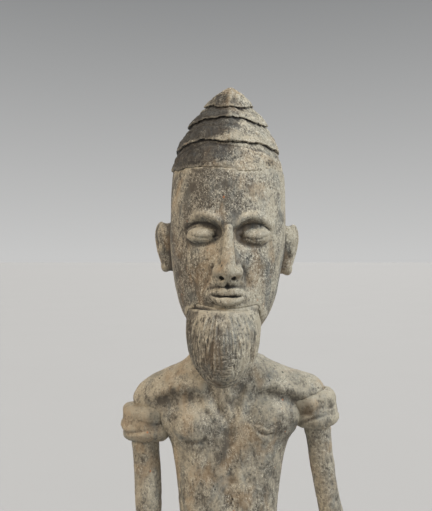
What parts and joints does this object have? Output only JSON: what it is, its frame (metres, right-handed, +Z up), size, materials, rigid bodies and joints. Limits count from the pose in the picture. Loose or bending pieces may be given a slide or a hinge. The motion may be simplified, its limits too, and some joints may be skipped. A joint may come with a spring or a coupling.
{
  "type": "carved standing figure",
  "caption": "Standing carved wooden ancestor figure with a tiered pointed coiffure, a broad beard and thick armlets, on a low round base.",
  "frame": {"origin": "centre of the base's underside, which is also the middle of the bounding box in X and Y", "axes": "+Z up to the tip of the coiffure, -Y the way the figure faces, +X the figure's own left"},
  "size_m": [0.15, 0.15, 0.541],
  "materials": {
    "carved_wood": "weathered, grey-olive, with a pale mineral crust",
    "dark_wood": "weathered, darker, with less crust",
    "base_wood": "worn dark wood",
    "peg_wood": "plain hardwood"
  },
  "bodies": {
    "root": {"base": "base_wood", "leg_right": "carved_wood", "leg_left": "carved_wood", "torso": "carved_wood", "arm_right": "carved_wood", "arm_left": "carved_wood", "armlet_right": "dark_wood", "armlet_left": "dark_wood", "head": "carved_wood", "coiffure": "dark_wood", "beard": "dark_wood", "foot_peg_right": "peg_wood", "foot_peg_left": "peg_wood", "hip_peg_right": "peg_wood", "hip_peg_left": "peg_wood", "shoulder_peg_right": "peg_wood", "shoulder_peg_left": "peg_wood", "neck_peg": "peg_wood", "coiffure_peg": "peg_wood", "beard_peg": "peg_wood"}
  },
  "joints": []
}
